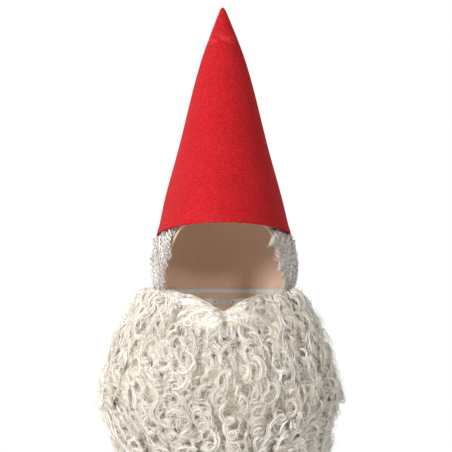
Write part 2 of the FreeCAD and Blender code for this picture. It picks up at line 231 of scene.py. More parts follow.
def tube_bake_places(n, k, sides):
    """Place of each face corner of tube_faces in the square that the colours are baked to."""
    start, inner = bake_cells(n)
    _, i, j = np.meshgrid(np.arange(n), np.arange(k - 1), np.arange(sides), indexing="ij")
    column = np.stack([j, j + 1, j + 1, j], axis=-1) / sides
    row = np.stack([i, i, i + 1, i + 1], axis=-1) / (k - 1)
    wall = np.stack([start[:, None, None, None, 0] + column * inner[0],
                     start[:, None, None, None, 1] + row * inner[1]], axis=-1)
    fan = np.arange(sides) / sides
    low_cap = np.stack([start[:, None, 0] + fan * inner[0], np.repeat(start[:, 1:2], sides, 1)], axis=-1)
    high_cap = low_cap + np.array([0.0, inner[1]])
    return np.concatenate([part.reshape(-1, 2) for part in (wall, low_cap, high_cap)])


def tubes(name, paths, radii, tone, sides=3):
    """Closed thin tubes along paths (n, k, 3) in metres, with radii (n, k) and a tone for each tube."""
    n, k, _ = paths.shape
    sizes = np.concatenate([np.full(n * (k - 1) * sides, 4), np.full(2 * n, sides)])
    piece = mesh_object(name, tube_points(paths, radii, sides), tube_faces(n, k, sides), sizes)
    layer = piece.data.uv_layers.new(name="OFBake")
    layer.data.foreach_set("uv", tube_bake_places(n, k, sides).astype(np.float32).ravel())
    add_values(piece, "tone", np.repeat(tone, k * sides))
    add_values(piece, "along", np.tile(np.repeat(np.linspace(0, 1, k), sides), n))
    add_values(piece, "crest", np.repeat(crests(paths).ravel(), sides))
    return piece


def grid_faces(columns, rows, closed=False, offset=0, flip=False):
    """Corners of the faces of a grid stored row by row, columns points to a row."""
    wide = columns if closed else columns - 1
    r, c = np.meshgrid(np.arange(rows - 1), np.arange(wide), indexing="ij")
    c2 = (c + 1) % columns
    low, high = r * columns, (r + 1) * columns
    faces = np.stack([low + c, low + c2, high + c2, high + c], axis=-1).reshape(-1, 4) + offset
    return faces[:, ::-1] if flip else faces


def surface_of(node):
    """Search tree over a CAD node's surface."""
    mesh = nodes[node].data
    verts = [v.co.copy() for v in mesh.vertices]
    faces = [tuple(p.vertices) for p in mesh.polygons]
    return BVHTree.FromPolygons(verts, faces)


# ---- materials

def set_inputs(node, **values):
    """Set input sockets of a shader node, with _ for each space in a socket's name."""
    for name, value in values.items():
        node.inputs[name.replace("_", " ")].default_value = value


class Shader:
    """Material with short ways to add the nodes used here."""

    def __init__(self, name):
        self.material = bpy.data.materials.new(name)
        self.material.use_nodes = True
        self.tree = self.material.node_tree
        self.bsdf = self.tree.nodes["Principled BSDF"]
        self.places = self.tree.nodes.new("ShaderNodeTexCoord").outputs["Object"]

    def add(self, kind, **settings):
        node = self.tree.nodes.new(kind)
        for key, value in settings.items():
            setattr(node, key, value)
        return node

    def plug(self, value, socket):
        if isinstance(value, bpy.types.NodeSocket):
            self.tree.links.new(value, socket)
        else:
            socket.default_value = value

    def noise(self, scale, detail=2.0, stretch=None, roughness=0.5, distortion=0.0):
        node = self.add("ShaderNodeTexNoise")
        set_inputs(node, Distortion=distortion, Scale=scale, Detail=detail, Roughness=roughness)
        where = self.places
        if stretch:
            mapping = self.add("ShaderNodeMapping")
            set_inputs(mapping, Scale=stretch)
            self.tree.links.new(self.places, mapping.inputs["Vector"])
            where = mapping.outputs["Vector"]
        self.tree.links.new(where, node.inputs["Vector"])
        return node.outputs["Fac"]

    def wave(self, scale, direction, distortion):
        node = self.add("ShaderNodeTexWave", bands_direction=direction)
        set_inputs(node, Scale=scale, Distortion=distortion)
        self.tree.links.new(self.places, node.inputs["Vector"])
        return node.outputs["Fac"]

    def attribute(self, name):
        return self.add("ShaderNodeAttribute", attribute_name=name).outputs["Fac"]

    def maths(self, operation, a, b):
        node = self.add("ShaderNodeMath", operation=operation)
        self.plug(a, node.inputs[0])
        self.plug(b, node.inputs[1])
        return node.outputs[0]

    def span(self, value, low, high, to_low, to_high):
        node = self.add("ShaderNodeMapRange")
        for socket, v in zip(node.inputs, (value, low, high, to_low, to_high)):
            self.plug(v, socket)
        return node.outputs[0]

    def ramp(self, value, *stops):
        node = self.add("ShaderNodeValToRGB")
        ramp = node.color_ramp
        while len(ramp.elements) < len(stops):
            ramp.elements.new(0.5)
        for element, (position, colour) in zip(ramp.elements, stops):
            element.position = position
            element.color = (*colour, 1.0)
        self.tree.links.new(value, node.inputs["Fac"])
        return node.outputs["Color"]

    def height(self):
        node = self.add("ShaderNodeSeparateXYZ")
        self.tree.links.new(self.places, node.inputs[0])
        return node.outputs["Z"]

    def mix(self, factor, a, b):
        node = self.add("ShaderNodeMix", data_type="RGBA")
        self.plug(factor, node.inputs[0])
        self.plug(a if isinstance(a, bpy.types.NodeSocket) else (*a, 1.0), node.inputs[6])
        self.plug(b if isinstance(b, bpy.types.NodeSocket) else (*b, 1.0), node.inputs[7])
        return node.outputs[2]

    def bump(self, height, strength, distance):
        node = self.add("ShaderNodeBump")
        set_inputs(node, Strength=strength, Distance=distance)
        self.tree.links.new(height, node.inputs["Height"])
        self.tree.links.new(node.outputs["Normal"], self.bsdf.inputs["Normal"])

    def finish(self, colour, roughness, **sockets):
        self.plug(colour, self.bsdf.inputs["Base Color"])
        self.plug(roughness, self.bsdf.inputs["Roughness"])
        set_inputs(self.bsdf, **sockets)
        return self.material


def felt_material(name, dark, light):
    """Pressed felt: fine mottled fibres, faint lines across, cloudy patches, a soft fuzzy sheen, and a
    painted highlight in a pale band along the wrinkle below the tip.
    """
    s = Shader(name)
    fibres = s.noise(820, 5.0, roughness=0.72)
    lines = s.noise(520, 4.0, stretch=(0.5, 0.5, 1.3), roughness=0.7)
    clouds = s.noise(26, 3.0)
    base = s.ramp(fibres, (0.36, dark), (0.64, light))
    pale = tuple(min(1.0, c * 1.18 + 0.03) for c in light)
    base = s.mix(s.span(lines, 0.50, 0.70, 0.0, 0.34), base, pale)
    base = s.mix(s.span(lines, 0.32, 0.48, 0.22, 0.0), base, dark)
    base = s.mix(s.span(clouds, 0.35, 0.7, 0.0, 0.24), base, dark)
    # painted highlight: a pale band, in patches, along the ridge of the wrinkle below the tip
    height = s.height()
    above = s.span(height, CREASE_Z - 0.005, CREASE_Z, 0.0, 1.0)
    below = s.span(height, CREASE_Z + 0.002, CREASE_Z + 0.011, 1.0, 0.0)
    crease_highlight_patches = s.span(s.noise(110, 3.0), 0.4, 0.6, 0.0, 0.4)
    crease_highlight = s.maths("MULTIPLY", s.maths("MULTIPLY", above, below), crease_highlight_patches)
    base = s.mix(crease_highlight, base, pale)
    s.bump(s.maths("ADD", fibres, lines), 0.6, 0.0005)
    return s.finish(base, s.span(fibres, 0.3, 0.7, 0.82, 0.95), Sheen_Weight=0.12, Sheen_Roughness=0.5,
                    Sheen_Tint=(1.0, 0.22, 0.20, 1.0), Specular_IOR_Level=0.06)


def hair_material(name, deep, middle, pale, painted_shine_from):
    """Synthetic fibre: a tone for each strand, darker at the root as painted shade under the curls, with
    light and grey patches.
    The crests of the curls are coloured pale in patches as a painted highlight, where the crest value is
    above the last argument."""
    s = Shader(name)
    tone = s.attribute("tone")
    base = s.ramp(tone, (0.0, deep), (0.5, middle), (1.0, pale))
    patches = s.noise(34, 2.0)
    base = s.mix(s.span(patches, 0.35, 0.7, 0.0, 0.22), base, deep)
    # painted shade: darker towards each strand's root, which lies under the curls
    root = s.span(s.attribute("along"), 0.0, 0.3, 0.2, 0.0)
    base = s.mix(root, base, deep)
    streak = s.noise(420, 2.0, stretch=(1.0, 1.0, 0.4))
    base = s.mix(s.span(streak, 0.55, 0.75, 0.0, 0.25), base, pale)
    # painted highlight: pale patches on the crests of the curls, where the fibres would catch the light
    painted_glint_patches = s.span(s.noise(150, 1.0), 0.46, 0.56, 0.0, 1.0)
    crest = s.span(s.attribute("crest"), painted_shine_from, 0.96, 0.0, 1.0)
    base = s.mix(s.maths("MULTIPLY", painted_glint_patches, crest), base, pale)
    rough = s.span(streak, 0.3, 0.7, 0.30, 0.15)
    return s.finish(base, rough, Specular_IOR_Level=1.0, Coat_Weight=0.5, Coat_Roughness=0.12)


def underlayer_material(name, deep, middle):
    """Packed fibre seen between the curls: dense swirling strands, coloured darker than the curls as painted
    shade, and darker still towards the bottom as more painted shade.
    """
    s = Shader(name)
    swirl = s.noise(230, 4.0, distortion=2.2)
    strands = s.maths("ABSOLUTE", s.maths("SUBTRACT", swirl, 0.5), 0.0)
    base = s.ramp(strands, (0.0, middle), (0.07, deep))
    # painted shade: darker towards the bottom of the beard, in the gaps between the lower curls
    low_down = s.span(s.height(), -0.22, -0.16, 0.45, 0.0)
    base = s.mix(low_down, base, tuple(0.5 * c for c in deep))
    s.bump(strands, 1.0, -0.0035)
    return s.finish(base, s.span(swirl, 0.3, 0.7, 0.5, 0.8), Specular_IOR_Level=0.3)


def cloth_material(name, base, dark, thread_mm, roughness=0.85):
    """Woven or knitted cloth with crossing threads."""
    s = Shader(name)
    scale = 1.0 / (thread_mm * MM) / 2
    weave = s.maths("MULTIPLY", s.wave(scale, "X", 0.6), s.wave(scale, "Z", 0.6))
    grain = s.noise(900, 3.0)
    colour = s.mix(s.span(weave, 0.1, 0.8, 0.75, 0.0), base, dark)
    colour = s.mix(s.span(grain, 0.4, 0.7, 0.0, 0.3), colour, dark)
    s.bump(s.maths("ADD", weave, grain), 0.6, 0.0003)
    return s.finish(colour, s.span(grain, 0.3, 0.7, roughness - 0.08, roughness + 0.05),
                    Specular_IOR_Level=0.3, Sheen_Weight=0.1)


def plastic_material(name, base):
    s = Shader(name)
    scuffs = s.noise(300, 3.0)
    colour = s.mix(s.span(scuffs, 0.4, 0.7, 0.0, 0.2), base, tuple(c * 0.8 for c in base))
    s.bump(scuffs, 0.1, 0.0001)
    return s.finish(colour, s.span(scuffs, 0.3, 0.7, 0.25, 0.4))


CREASE_BELOW_TIP = 38.0
CREASE_Z = (hat_high[2] - CREASE_BELOW_TIP) * MM
felt = felt_material("red_felt_fibres", (0.22, 0.004, 0.006), (0.53, 0.013, 0.019))
red_thread = cloth_material("red_twisted_thread", (0.50, 0.012, 0.018), (0.36, 0.006, 0.010), 0.4)
beard_fibre = hair_material("beard_fibre_cream", (0.71, 0.63, 0.525), (0.87, 0.79, 0.68),
                            (1.0, 0.99, 0.97), 0.72)
wig_fibre = hair_material("wig_fibre_silver", (0.45, 0.38, 0.325), (0.68, 0.60, 0.53),
                          (1.0, 1.0, 1.0), 0.45)
# the packed fibre is coloured darker than the curls: painted shade between them
beard_underlayer = underlayer_material("beard_packed_fibre", (0.54, 0.47, 0.385), (0.80, 0.725, 0.62))
wig_underlayer = underlayer_material("wig_packed_fibre", (0.42, 0.37, 0.32), (0.62, 0.57, 0.51))
cloth = {
    "stiffener": cloth_material("stiffener_interlining", (0.70, 0.68, 0.63), (0.50, 0.48, 0.44), 1.0),
    "black_band": cloth_material("sweatband_ribbon", (0.035, 0.033, 0.035), (0.012, 0.012, 0.013), 0.9),
    "label_white": cloth_material("label_satin", (0.82, 0.82, 0.80), (0.62, 0.62, 0.60), 0.5, 0.5),
    "cap_net": cloth_material("cap_net_mesh", (0.74, 0.55, 0.42), (0.50, 0.33, 0.23), 2.4),
    "elastic_white": cloth_material("ribbed_elastic", (0.76, 0.75, 0.71), (0.48, 0.47, 0.44), 1.2),
    "weft_tape": cloth_material("weft_stitching", (0.70, 0.67, 0.61), (0.40, 0.37, 0.32), 1.0),
    "hook_wire": plastic_material("clear_grey_plastic", (0.70, 0.70, 0.68)),
    "red_felt": felt,
    "red_thread": red_thread,
}


def dress(piece, material):
    piece.data.materials.clear()
    piece.data.materials.append(material)


def hand_over(piece, material, body, replaced=()):
    """Finish a piece that is rigid on one body."""
    dress(piece, material)
    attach(piece, body)
    if replaced:
        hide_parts(*replaced)


def slot_of(node):
    for subpart in frame["record"]["subparts"]:
        if subpart["node"] == node:
            return subpart["material_slot"]
    return None


def dress_cad_nodes():
    for name, node in nodes.items():
        material = cloth.get(slot_of(name))
        if material:
            for entry in node.material_slots:
                entry.material = material


# ---- cloth layers

bodies = frame["record"]["behaviour"]["bodies"]
BODY_OF = {node: body for body, members in bodies.items() for node in members}
CLOTH_SLOTS = ("cap_net", "elastic_white", "black_band", "stiffener", "label_white", "weft_tape")
FELT_LAYERS = ("hat_hem_fold", "hat_back_seam")
RIPPLE = 0.16  # small enough for layers that are sewn together to stay apart
LONGEST_CLOTH_EDGE = 6.0
LONGEST_FIBRE_EDGE = 5.0
CUTTING_PASSES = 5


def finely_cut(node, longest_mm):
    """Copy of a CAD node's mesh with its edges cut until they are shorter than longest_mm."""
    work = bmesh.new()
    work.from_mesh(nodes[node].data)
    bmesh.ops.remove_doubles(work, verts=work.verts, dist=0.00002)
    bmesh.ops.triangulate(work, faces=work.faces)
    for _ in range(CUTTING_PASSES):
        long_edges = [e for e in work.edges if e.calc_length() > longest_mm * MM]
        if not long_edges:
            break
        bmesh.ops.subdivide_edges(work, edges=long_edges, cuts=1)
        bmesh.ops.triangulate(work, faces=work.faces)
    mesh = bpy.data.meshes.new(node + "_cloth")
    work.to_mesh(mesh)
    work.free()
    return mesh


def mesh_points(mesh):
    """Vertices of a mesh in mm."""
    co = np.empty(len(mesh.vertices) * 3, np.float32)
    mesh.vertices.foreach_get("co", co)
    return co.reshape(-1, 3).astype(float) / MM


def set_points(mesh, points):
    mesh.vertices.foreach_set("co", (points * MM).astype(np.float32).ravel())
    mesh.update()


def soft_copy(node):
    """Cloth in place of a thin CAD node: the same layer with slight, uneven ripples."""
    mesh = finely_cut(node, LONGEST_CLOTH_EDGE)
    points = mesh_points(mesh)
    outward = unit(points - HEAD_CENTRE)
    ripple = RIPPLE * (noise(points, 14, 51) + 0.4 * noise(points, 5, 52))
    set_points(mesh, points + outward * ripple[:, None])
    piece = smooth_piece(node + "_cloth", mesh)
    mesh.set_sharp_from_angle(angle=math.radians(40))
    dress(piece, cloth[slot_of(node)])
    if node.startswith("elastic_side"):
        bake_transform(piece)
    else:
        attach(piece, BODY_OF[node])
    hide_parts(node)
    return piece


def make_cloth_layers():
    for subpart in frame["record"]["subparts"]:
        node = subpart["node"]
        if subpart["material_slot"] not in CLOTH_SLOTS and node not in FELT_LAYERS:
            continue
        piece = soft_copy(node)


# ---- hat

HAT_COLUMNS = 240
HAT_TOP = hat_high[2] / hat_axis[2] * MM  # up the hat's own axis
FELT_TOP = HAT_TOP - 0.8 * MM
FELT_THICK = 2.04 * MM
STITCH_LEVEL = 6.0 * MM
STITCH_SHARE = 0.62  # of the distance from one stitch to the next
STITCH_RADIUS = 0.28 * MM
STITCH_SINK = np.array([-0.35, 0.05, 0.15, 0.05, -0.35]) * MM
TIP_STRETCH = 2.4 * MM
BRIM_ASIDE, ASIDE_BY = 0.6 * MM, 0.2  # shift to one side, and the share of the height at which it is full
TIP_ASIDE = 1.0 * MM
FOLD, FOLD_AT, FOLD_WIDTH = 1.7, 0.02, 0.17  # the front fold: height, and radians from the front
HOLLOW, HOLLOW_AT, HOLLOW_WIDTH = 0.5, 0.42, 0.22  # the hollow on both sides of the fold
DENT, DENT_WIDTH = 1.7, 1.8  # the wrinkle below the tip
LIP, LIP_ABOVE, LIP_WIDTH = 1.1, 5.0, 2.6  # the swelling above the wrinkle
CORNER_FLARE, BRIM_FLARE, BRIM_WAVE = 1.1, 0.35, 0.5
GROOVE, GROOVE_WIDTH = 0.20, 0.9  # where the stitches pull the felt in
HEM_SWELL, HEM_MIDDLE, HEM_WIDTH = 0.14, 3.2, 1.9


def bell(x, middle, width):
    return np.exp(-((x - middle) / width) ** 2)


def hat_point(height, turn, radius):
    """Place at this height up the hat's axis and radius from it. turn is 0 at the front."""
    height, turn, radius = (np.asarray(value, float)[..., None] for value in (height, turn, radius))
    out = np.sin(turn) * HAT_SIDE + np.cos(turn) * HAT_FRONT
    return HAT_BASE + height * hat_axis + radius * out


def hat_radii(heights, turns):
    """Distance from the hat's axis to the CAD felt's outer face."""
    tree = surface_of("hat_cone_felt")
    far = 0.3  # metres, well outside the hat
    radii = np.zeros((len(heights), len(turns)))
    for i, height in enumerate(heights):
        for j, turn in enumerate(turns):
            start = hat_point(height, turn, far)
            heading = hat_point(height, turn, 0.0) - start
            hit = tree.ray_cast(Vector(start), Vector(heading))
            radii[i, j] = far - hit[3] if hit[0] else radii[i - 1, j] * 0.7
    return radii


def at_heights(wanted, heights, radii):
    """Radii (rows, columns) known at some heights, read at the wanted ones."""
    return np.stack([np.interp(wanted, heights, column) for column in radii.T], axis=1)


def solids_in(node):
    """How many separate solids a CAD node has."""
    work = bmesh.new()
    work.from_mesh(nodes[node].data)
    bmesh.ops.remove_doubles(work, verts=work.verts, dist=0.00001)
    unseen = set(work.verts)
    count = 0
    while unseen:
        count += 1
        stack = [unseen.pop()]
        while stack:
            for edge in stack.pop().link_edges:
                found = unseen.intersection(edge.verts)
                unseen -= found
                stack.extend(found)
    work.free()
    return count


def make_stitches(turns, radii):
    """Running stitch round the top of the hem, lying on the felt."""
    count, steps = solids_in("hat_hem_stitches"), len(STITCH_SINK)
    middle = np.arange(count) * 2 * np.pi / count
    turn = middle[:, None] + np.linspace(-0.5, 0.5, steps)[None, :] * STITCH_SHARE * 2 * np.pi / count
    radius = np.interp(turn.ravel() % (2 * np.pi), turns, radii, period=2 * np.pi).reshape(turn.shape)
    aside = -BRIM_ASIDE * smooth(STITCH_LEVEL / HAT_TOP / ASIDE_BY)
    paths = hat_point(STITCH_LEVEL, turn, radius + STITCH_SINK) + HAT_SIDE * aside
    stitches = tubes("hem_thread", paths, np.full((count, steps), STITCH_RADIUS), np.full(count, 0.5), 5)
    hand_over(stitches, red_thread, "hat", ["hat_hem_stitches"])


def felt_rows():
    """Heights of the outer face's rings, closest at the hem and the tip."""
    lowest = np.array([0.0, 0.25, 0.8]) * MM
    hem = np.linspace(1.5, 10.0, 18) * MM
    wall = np.linspace(11.5 * MM, FELT_TOP - 10 * MM, 118)
    tip = np.linspace(FELT_TOP - 8 * MM, FELT_TOP, 10)
    return np.concatenate([lowest, hem, wall, tip])


def felt_relief(h, t, radii):
    """How far, in mm, the felt stands out from the CAD cone at height h and turn t."""
    turn = (t + np.pi) % (2 * np.pi) - np.pi
    down = (FELT_TOP - h) / MM
    place = np.stack([radii * np.sin(t), radii * np.cos(t), h], axis=-1) / MM
    fade = smooth(h / (14 * MM)) * smooth(down / 30)
    fold = FOLD * bell(turn, FOLD_AT, FOLD_WIDTH) * fade * (1 - 0.5 * (h / FELT_TOP))
    fold -= HOLLOW * bell(np.abs(turn), HOLLOW_AT, HOLLOW_WIDTH) * fade
    waves = 0.55 * noise(place * [1, 1, 0.5], 34, 3) * fade + 0.22 * noise(place, 13, 4) * fade
    from_tip = down - 1.6 * np.sin(2 * t + 0.4) - 0.8 * np.sin(5 * t)
    wrinkle = -DENT * bell(from_tip, CREASE_BELOW_TIP, DENT_WIDTH) * (0.55 + 0.45 * np.cos(turn + 1.0))
    wrinkle += LIP * bell(from_tip, CREASE_BELOW_TIP - LIP_ABOVE, LIP_WIDTH)
    flare = CORNER_FLARE * np.exp(-h / (7 * MM)) * np.sin(turn) ** 2 + BRIM_FLARE * np.exp(-h / (5 * MM))
    flare += BRIM_WAVE * np.sin(5 * t + 0.7) * np.exp(-h / (16 * MM))
    groove = HEM_SWELL * bell(h / MM, HEM_MIDDLE, HEM_WIDTH)
    groove -= GROOVE * bell(h, STITCH_LEVEL, GROOVE_WIDTH * MM)
    pebble = 0.10 * noise(place, 2.2, 5)
    full = 0.5 * fade + 0.9 * smooth((60 - down) / 40) * smooth(down / 4)
    return fold + waves + wrinkle + flare + groove + pebble + full


def felt_outside(heights, turns, radii):
    """Radii of the felt's outer face, rounded at the lower edge and closed over the tip."""
    h, t = np.meshgrid(heights, turns, indexing="ij")
    edge = np.interp(heights, np.array([0, 0.25, 0.8, 1.5]) * MM, [-0.75, -0.3, -0.08, 0.0])
    outer = np.maximum(radii + (felt_relief(h, t, radii) + edge[:, None]) * MM, 0.35 * MM)
    tip_shape = np.sqrt(np.clip((FELT_TOP - h) / (3.5 * MM), 0, 1))
    return np.minimum(outer, 0.2 * MM + 3.0 * MM * tip_shape + np.maximum(radii - 3.0 * MM, 0))


def felt_faces(rows_out, rows_in, n):
    """Corners and sizes of the faces of the felt's two walls, its brim and the two fans at the tip."""
    shift = rows_out * n
    tips = shift + rows_in * n
    outside = grid_faces(n, rows_out, True)
    inside = grid_faces(n, rows_in, True, shift, True)
    c = np.arange(n)
    c2 = (c + 1) % n
    brim = np.stack([c2, c, shift + c, shift + c2], axis=1)
    out_fan = np.stack([shift - n + c, shift - n + c2, np.full(n, tips)], axis=1)
    in_fan = np.stack([tips - n + c2, tips - n + c, np.full(n, tips + 1)], axis=1)
    loops = np.concatenate([part.ravel() for part in (outside, inside, brim, out_fan, in_fan)])
    return loops, np.concatenate([np.full(len(outside) + len(inside) + n, 4), np.full(2 * n, 3)])


def make_hat():
    """The felt cone as one closed shell, and its running stitch."""
    heights = felt_rows()
    turns = np.linspace(0, 2 * np.pi, HAT_COLUMNS, endpoint=False)
    cad_heights = np.linspace(0.3 * MM, FELT_TOP - 0.7 * MM, 60)
    outer = felt_outside(heights, turns, at_heights(heights, cad_heights, hat_radii(cad_heights, turns)))
    inner_heights = np.concatenate([[0.05, 0.6], np.linspace(4, FELT_TOP / MM - 13, 50)]) * MM
    inner = np.maximum(at_heights(inner_heights, heights, outer) - FELT_THICK, 0.4 * MM)
    inner[0] += 0.7 * MM
    points = np.concatenate([
        hat_point(heights[:, None], turns, outer).reshape(-1, 3),
        hat_point(inner_heights[:, None], turns, inner).reshape(-1, 3),
        [hat_point(FELT_TOP + 0.15 * MM, 0.0, 0.0), hat_point(inner_heights[-1] + 1 * MM, 0.0, 0.0)]])
    share = np.clip((points - HAT_BASE) @ hat_axis / FELT_TOP, 0, 1)
    points -= HAT_SIDE * (BRIM_ASIDE * smooth(share / ASIDE_BY) + TIP_ASIDE * share ** 6)[:, None]
    points += hat_axis * (TIP_STRETCH * share ** 4)[:, None]
    hat = mesh_object("felt_cone", points, *felt_faces(len(heights), len(inner_heights), HAT_COLUMNS))
    make_stitches(turns, at_heights([STITCH_LEVEL], heights, outer)[0])
    hand_over(hat, felt, "hat", ["hat_cone_felt"])


# ---- hair

STRAY_SHARE = 0.2  # of the strands, which keep less closely to their lock
STRAY_LOOSENESS = 2.6
ROW_STRAND, EDGE_STRAND, FINE_STRAND = 0.28, 0.30, 0.27  # radii of the strands
ROOT_RISE = 3.0
BEARD_SPREAD, WIG_SPREAD = 1.2, 0.6
ROOT_SHARE, CURL_SHARE = 0.22, 0.28  # of a strand's length, to leave the root and to open to full curl
WIG_CLEARANCE = 3.0
BRIM_CLEARANCE = 0.4


def lock_paths(line, out, flow, length, curl_radius, pitch, tilt, rng, strands, points, rise, spread,
               sway=0.5):
    """Curling strands in mm, strands to each of n locks, as paths (n * strands, points, 3).

    line gives the centre lines. out and flow are each lock's outward and forward directions. tilt turns the
    curl's axis from flow (0) to out (a right angle), and sway is how far it may turn to the side. rise is how
    far the root lies below the centre line, and spread is how far apart the strands of a lock lie."""
    n = len(flow)
    m = n * strands
    t = np.linspace(0, 1, points)
    per_strand = functools.partial(np.repeat, repeats=strands, axis=0)
    side = unit(np.cross(flow, out))
    aside = rng.uniform(-sway, sway, n)[:, None]
    axis = unit(np.cos(tilt)[:, None] * flow + np.sin(tilt)[:, None] * out + aside * side)
    e1 = unit(side - np.sum(side * axis, axis=1, keepdims=True) * axis)
    e2 = np.cross(axis, e1)
    loose = np.where(rng.random(m) < STRAY_SHARE, STRAY_LOOSENESS, 1.0)
    hand = per_strand(rng.choice([-1.0, 1.0], n))
    phase = per_strand(rng.uniform(0, 2 * np.pi, n)) + rng.normal(0, 0.2, m) * loose
    radius = per_strand(curl_radius) * (1 + rng.normal(0, 0.10, m) * loose)
    turns = per_strand(length / pitch) * (1 + rng.normal(0, 0.025, m) * loose)
    run = per_strand(length) * rng.uniform(0.86, 1.05, m)
    offset = rng.normal(0, spread, (m, 3)) * loose[:, None]
    angle = phase[:, None] + hand[:, None] * 2 * np.pi * turns[:, None] * t ** 1.1
    swing = radius[:, None] * smooth(t / CURL_SHARE)[None, :] * (1 - 0.25 * t[None, :])
    turning = swing[..., None] * (np.cos(angle)[..., None] * per_strand(e1)[:, None, :]
                                  + np.sin(angle)[..., None] * per_strand(e2)[:, None, :])
    lift = -per_strand(rise)[:, None] * (1 - smooth(t / ROOT_SHARE))[None, :]
    paths = line(run, t, per_strand) + lift[..., None] * per_strand(out)[:, None, :]
    return paths + turning + offset[:, None, :] * (0.3 + 0.7 * smooth(t / 0.6))[None, :, None]


def outside_cap(paths):
    """Moves points that would be inside the wig's cap out to just outside it."""
    least = 1 + WIG_CLEARANCE / HEAD_HALF[0]
    share = head_share(paths)
    return HEAD_CENTRE + (paths - HEAD_CENTRE) * np.maximum(1, least / share)[..., None]


def inside_solid(paths, node):
    """Moves points that stick out of a CAD solid back to its surface."""
    tree = surface_of(node)
    flat = paths.reshape(-1, 3).copy()
    for i, point in enumerate(flat * MM):
        spot, normal, _, _ = tree.find_nearest(Vector(point))
        if (Vector(point) - spot).dot(normal) > 0:
            flat[i] = np.array(spot) / MM
    return flat.reshape(paths.shape)


def under_brim(paths):
    """Moves points that would be above the hat's lower edge down to it."""
    height = (paths - HAT_BASE / MM) @ hat_axis
    return paths - np.maximum(height + BRIM_CLEARANCE, 0)[..., None] * hat_axis


def backing_at(z):
    """Half width, centre and reach forward of the beard's backing at height z."""
    return [curve_at(curve, z) for curve in (BACKING_WIDTH, BACKING_CENTRE, BACKING_DEPTH)]


def outside_backing(paths):
    """Moves points that would be behind the beard's backing out to just in front of it."""
    z = paths[..., 2]
    width, centre, reach = backing_at(z)
    ahead = paths[..., 1] - centre
    share = np.hypot(paths[..., 0] / (width + BACKING_CLEARANCE), ahead / (reach + BACKING_CLEARANCE))
    push = np.where(ahead < 0, np.maximum(1, 1 / np.maximum(share, 0.5)), 1.0)
    return np.stack([paths[..., 0] * push, centre + ahead * push, z], axis=-1)


def strand_radii(count, points, thick_mm, rng):
    """Radius along each strand, in metres, thinner at the root and drawn out at the tip."""
    t = np.linspace(0, 1, points)
    profile = np.interp(t, [0, 0.15, 0.7, 1.0], [0.8, 1.0, 0.85, 0.25])
    return thick_mm * MM * profile[None, :] * rng.uniform(0.75, 1.2, count)[:, None]


def strand_piece(name, paths, thick_mm, rng, material, body, replaced, brightness=0.5, painted_glint_share=0.09):
    """Piece of hair from strands in mm. brightness is the usual tone; the last argument is the share of
    strands made pale and thicker as painted glints.
    """
    count, points, _ = paths.shape
    # painted highlight: some strands are made pale and thicker to stand for glints
    painted_glint = rng.random(count) < painted_glint_share
    tone = np.where(painted_glint, 1.0, np.clip(rng.normal(brightness, 0.2, count), 0, 0.9))
    radii = strand_radii(count, points, thick_mm, rng) * np.where(painted_glint, 1.6, 1.0)[:, None]
    hand_over(tubes(name, paths * MM, radii, tone), material, body, replaced)


# ---- beard

BEARD_LEFT = ((-50, 84), (-60, 96), (-71, 102), (-84, 107), (-95, 117), (-107, 122), (-139, 134), (-168, 140),
              (-186, 143), (-204, 137), (-220, 128), (-250, 115), (-275, 90), (-291, 50))
BEARD_RIGHT = ((-50, 80), (-60, 91), (-71, 96), (-84, 101), (-95, 112), (-107, 115), (-121, 119), (-151, 129),
               (-176, 134), (-208, 126), (-244, 120), (-260, 108), (-275, 88), (-291, 50))
BEARD_CENTRE = ((-50, -20), (-76, -28), (-107, -36), (-140, -42), (-186, -46), (-220, -52), (-250, -62),
                (-275, -78), (-291, -92))
BEARD_DEPTH = ((-50, 95), (-76, 102), (-107, 110), (-140, 114), (-186, 114), (-220, 104), (-250, 88),
               (-275, 60), (-291, 32))
BACKING_WIDTH = ((-45, 72.4), (-90, 74.5), (-130, 78), (-190, 90), (-300, 102))
BACKING_CENTRE = ((-45, 0), (-90, -1), (-130, -2), (-190, -6), (-300, -12))
BACKING_DEPTH = ((-45, 95), (-90, 97), (-130, 99), (-190, 97), (-300, 92))
BEARD_TOP = ((-90, -57), (-64, -60), (-22, -71.5), (0, -85), (22, -71.5), (64, -60), (90, -57))
BEARD_REAR = ((-50, -6), (-75, -7), (-110, -16), (-150, -32), (-190, -46), (-240, -60), (-292, -84))
REAR_ROUND = 9.0
MEAN_RADIUS = 100
BEARD_SWEEP = math.radians(122)  # from the front round to each rear edge
ROW_LOCKS, ROW_STRANDS, ROW_POINTS = 66, 12, 38
ROW_SPAN = 0.93  # share of the sweep that the rows' roots cover
ROW_LENGTH = (44, 66)
ROW_RISE = 10.0
BOLD = dict(radius=(6.0, 8.5), open_pitch=(26, 44), tight_pitch=(10, 17), tilt=(1.05, 1.57), lie=(-0.3, 1.8))
FINE = dict(radius=(2.8, 5.2), open_pitch=(15, 26), tight_pitch=(8, 13), tilt=(0.7, 1.5), lie=(1.0, 5.0))
EDGE = dict(radius=(3.2, 6.2), pitch=(14, 24), tilt=(0.7, 1.5), lie=(0.5, 6.0), length=(28, 46))
SUNK_SHARE = 0.6  # of a curl's radius, by which a curl that lies flat is sunk deeper
SHORTEST = 18.0
MOUSTACHE_HALF = 60.0  # half the width over which the rows begin below the moustache
MOUSTACHE_FOOT = -88.0
BEARD_LOWEST = -287.0
MOUSTACHE_REACH = 0.50  # radians from the front, where the moustache gives way to the beard's top edge
EDGE_Z = -62.0  # mean height of the top edge at the sides
REAR_LOW, REAR_HIGH = -245.0, -66.0  # where the rear edges carry curls of their own
BACKING_CLEARANCE = 1.6
BACKING_OUTSIDE = 1.2
FIBRE_COVER = 11.5  # how far the packed fibre stays below the beard's surface
TUCK, TUCK_LOW, TUCK_SPAN = 16.0, -128.0, 30.0  # the beard draws in under the moustache


def unrolled(theta, z):
    """Place on the beard's surface laid flat, for noise that follows the surface."""
    return np.stack([theta * MEAN_RADIUS, z, 0 * z], axis=-1)


